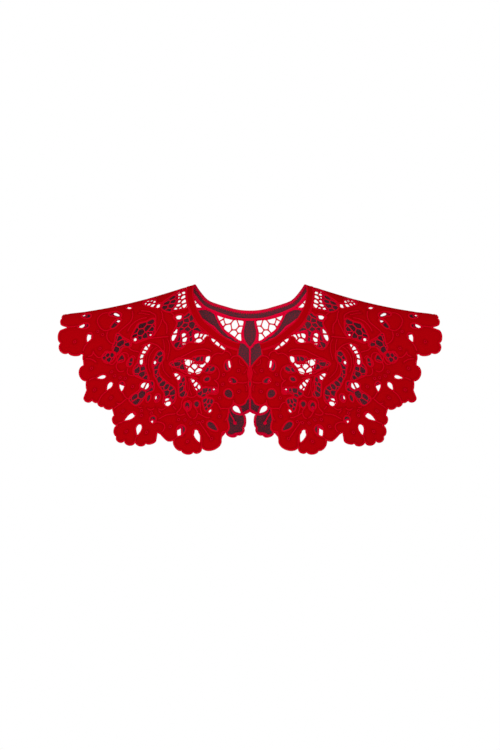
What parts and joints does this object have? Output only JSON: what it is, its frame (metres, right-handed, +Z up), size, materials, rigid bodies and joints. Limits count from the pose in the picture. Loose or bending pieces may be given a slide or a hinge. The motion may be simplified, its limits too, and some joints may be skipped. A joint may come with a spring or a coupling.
{
  "type": "detachable collar",
  "caption": "Shoulder-wide cape collar of stiff cutwork lace with scalloped flower motifs, a narrow neck band and a hidden front hook, in its worn form.",
  "frame": {"origin": "midway between the two neck points, where the neckline crosses the shoulders", "axes": "+X to the wearer's left, +Y to the back, +Z up; the front faces -Y"},
  "size_m": [0.4798, 0.2097, 0.2132],
  "materials": {
    "lace": "matt red cloth with corded crimson outlines outside, dark plum melange inside",
    "band": "matt red cloth with stitched crimson edges",
    "hook": "satin black"
  },
  "bodies": {
    "root": {"front_panel_left": "lace", "front_panel_right": "lace", "back_panel": "lace", "neck_band": "band", "front_hook": "hook"}
  },
  "joints": []
}
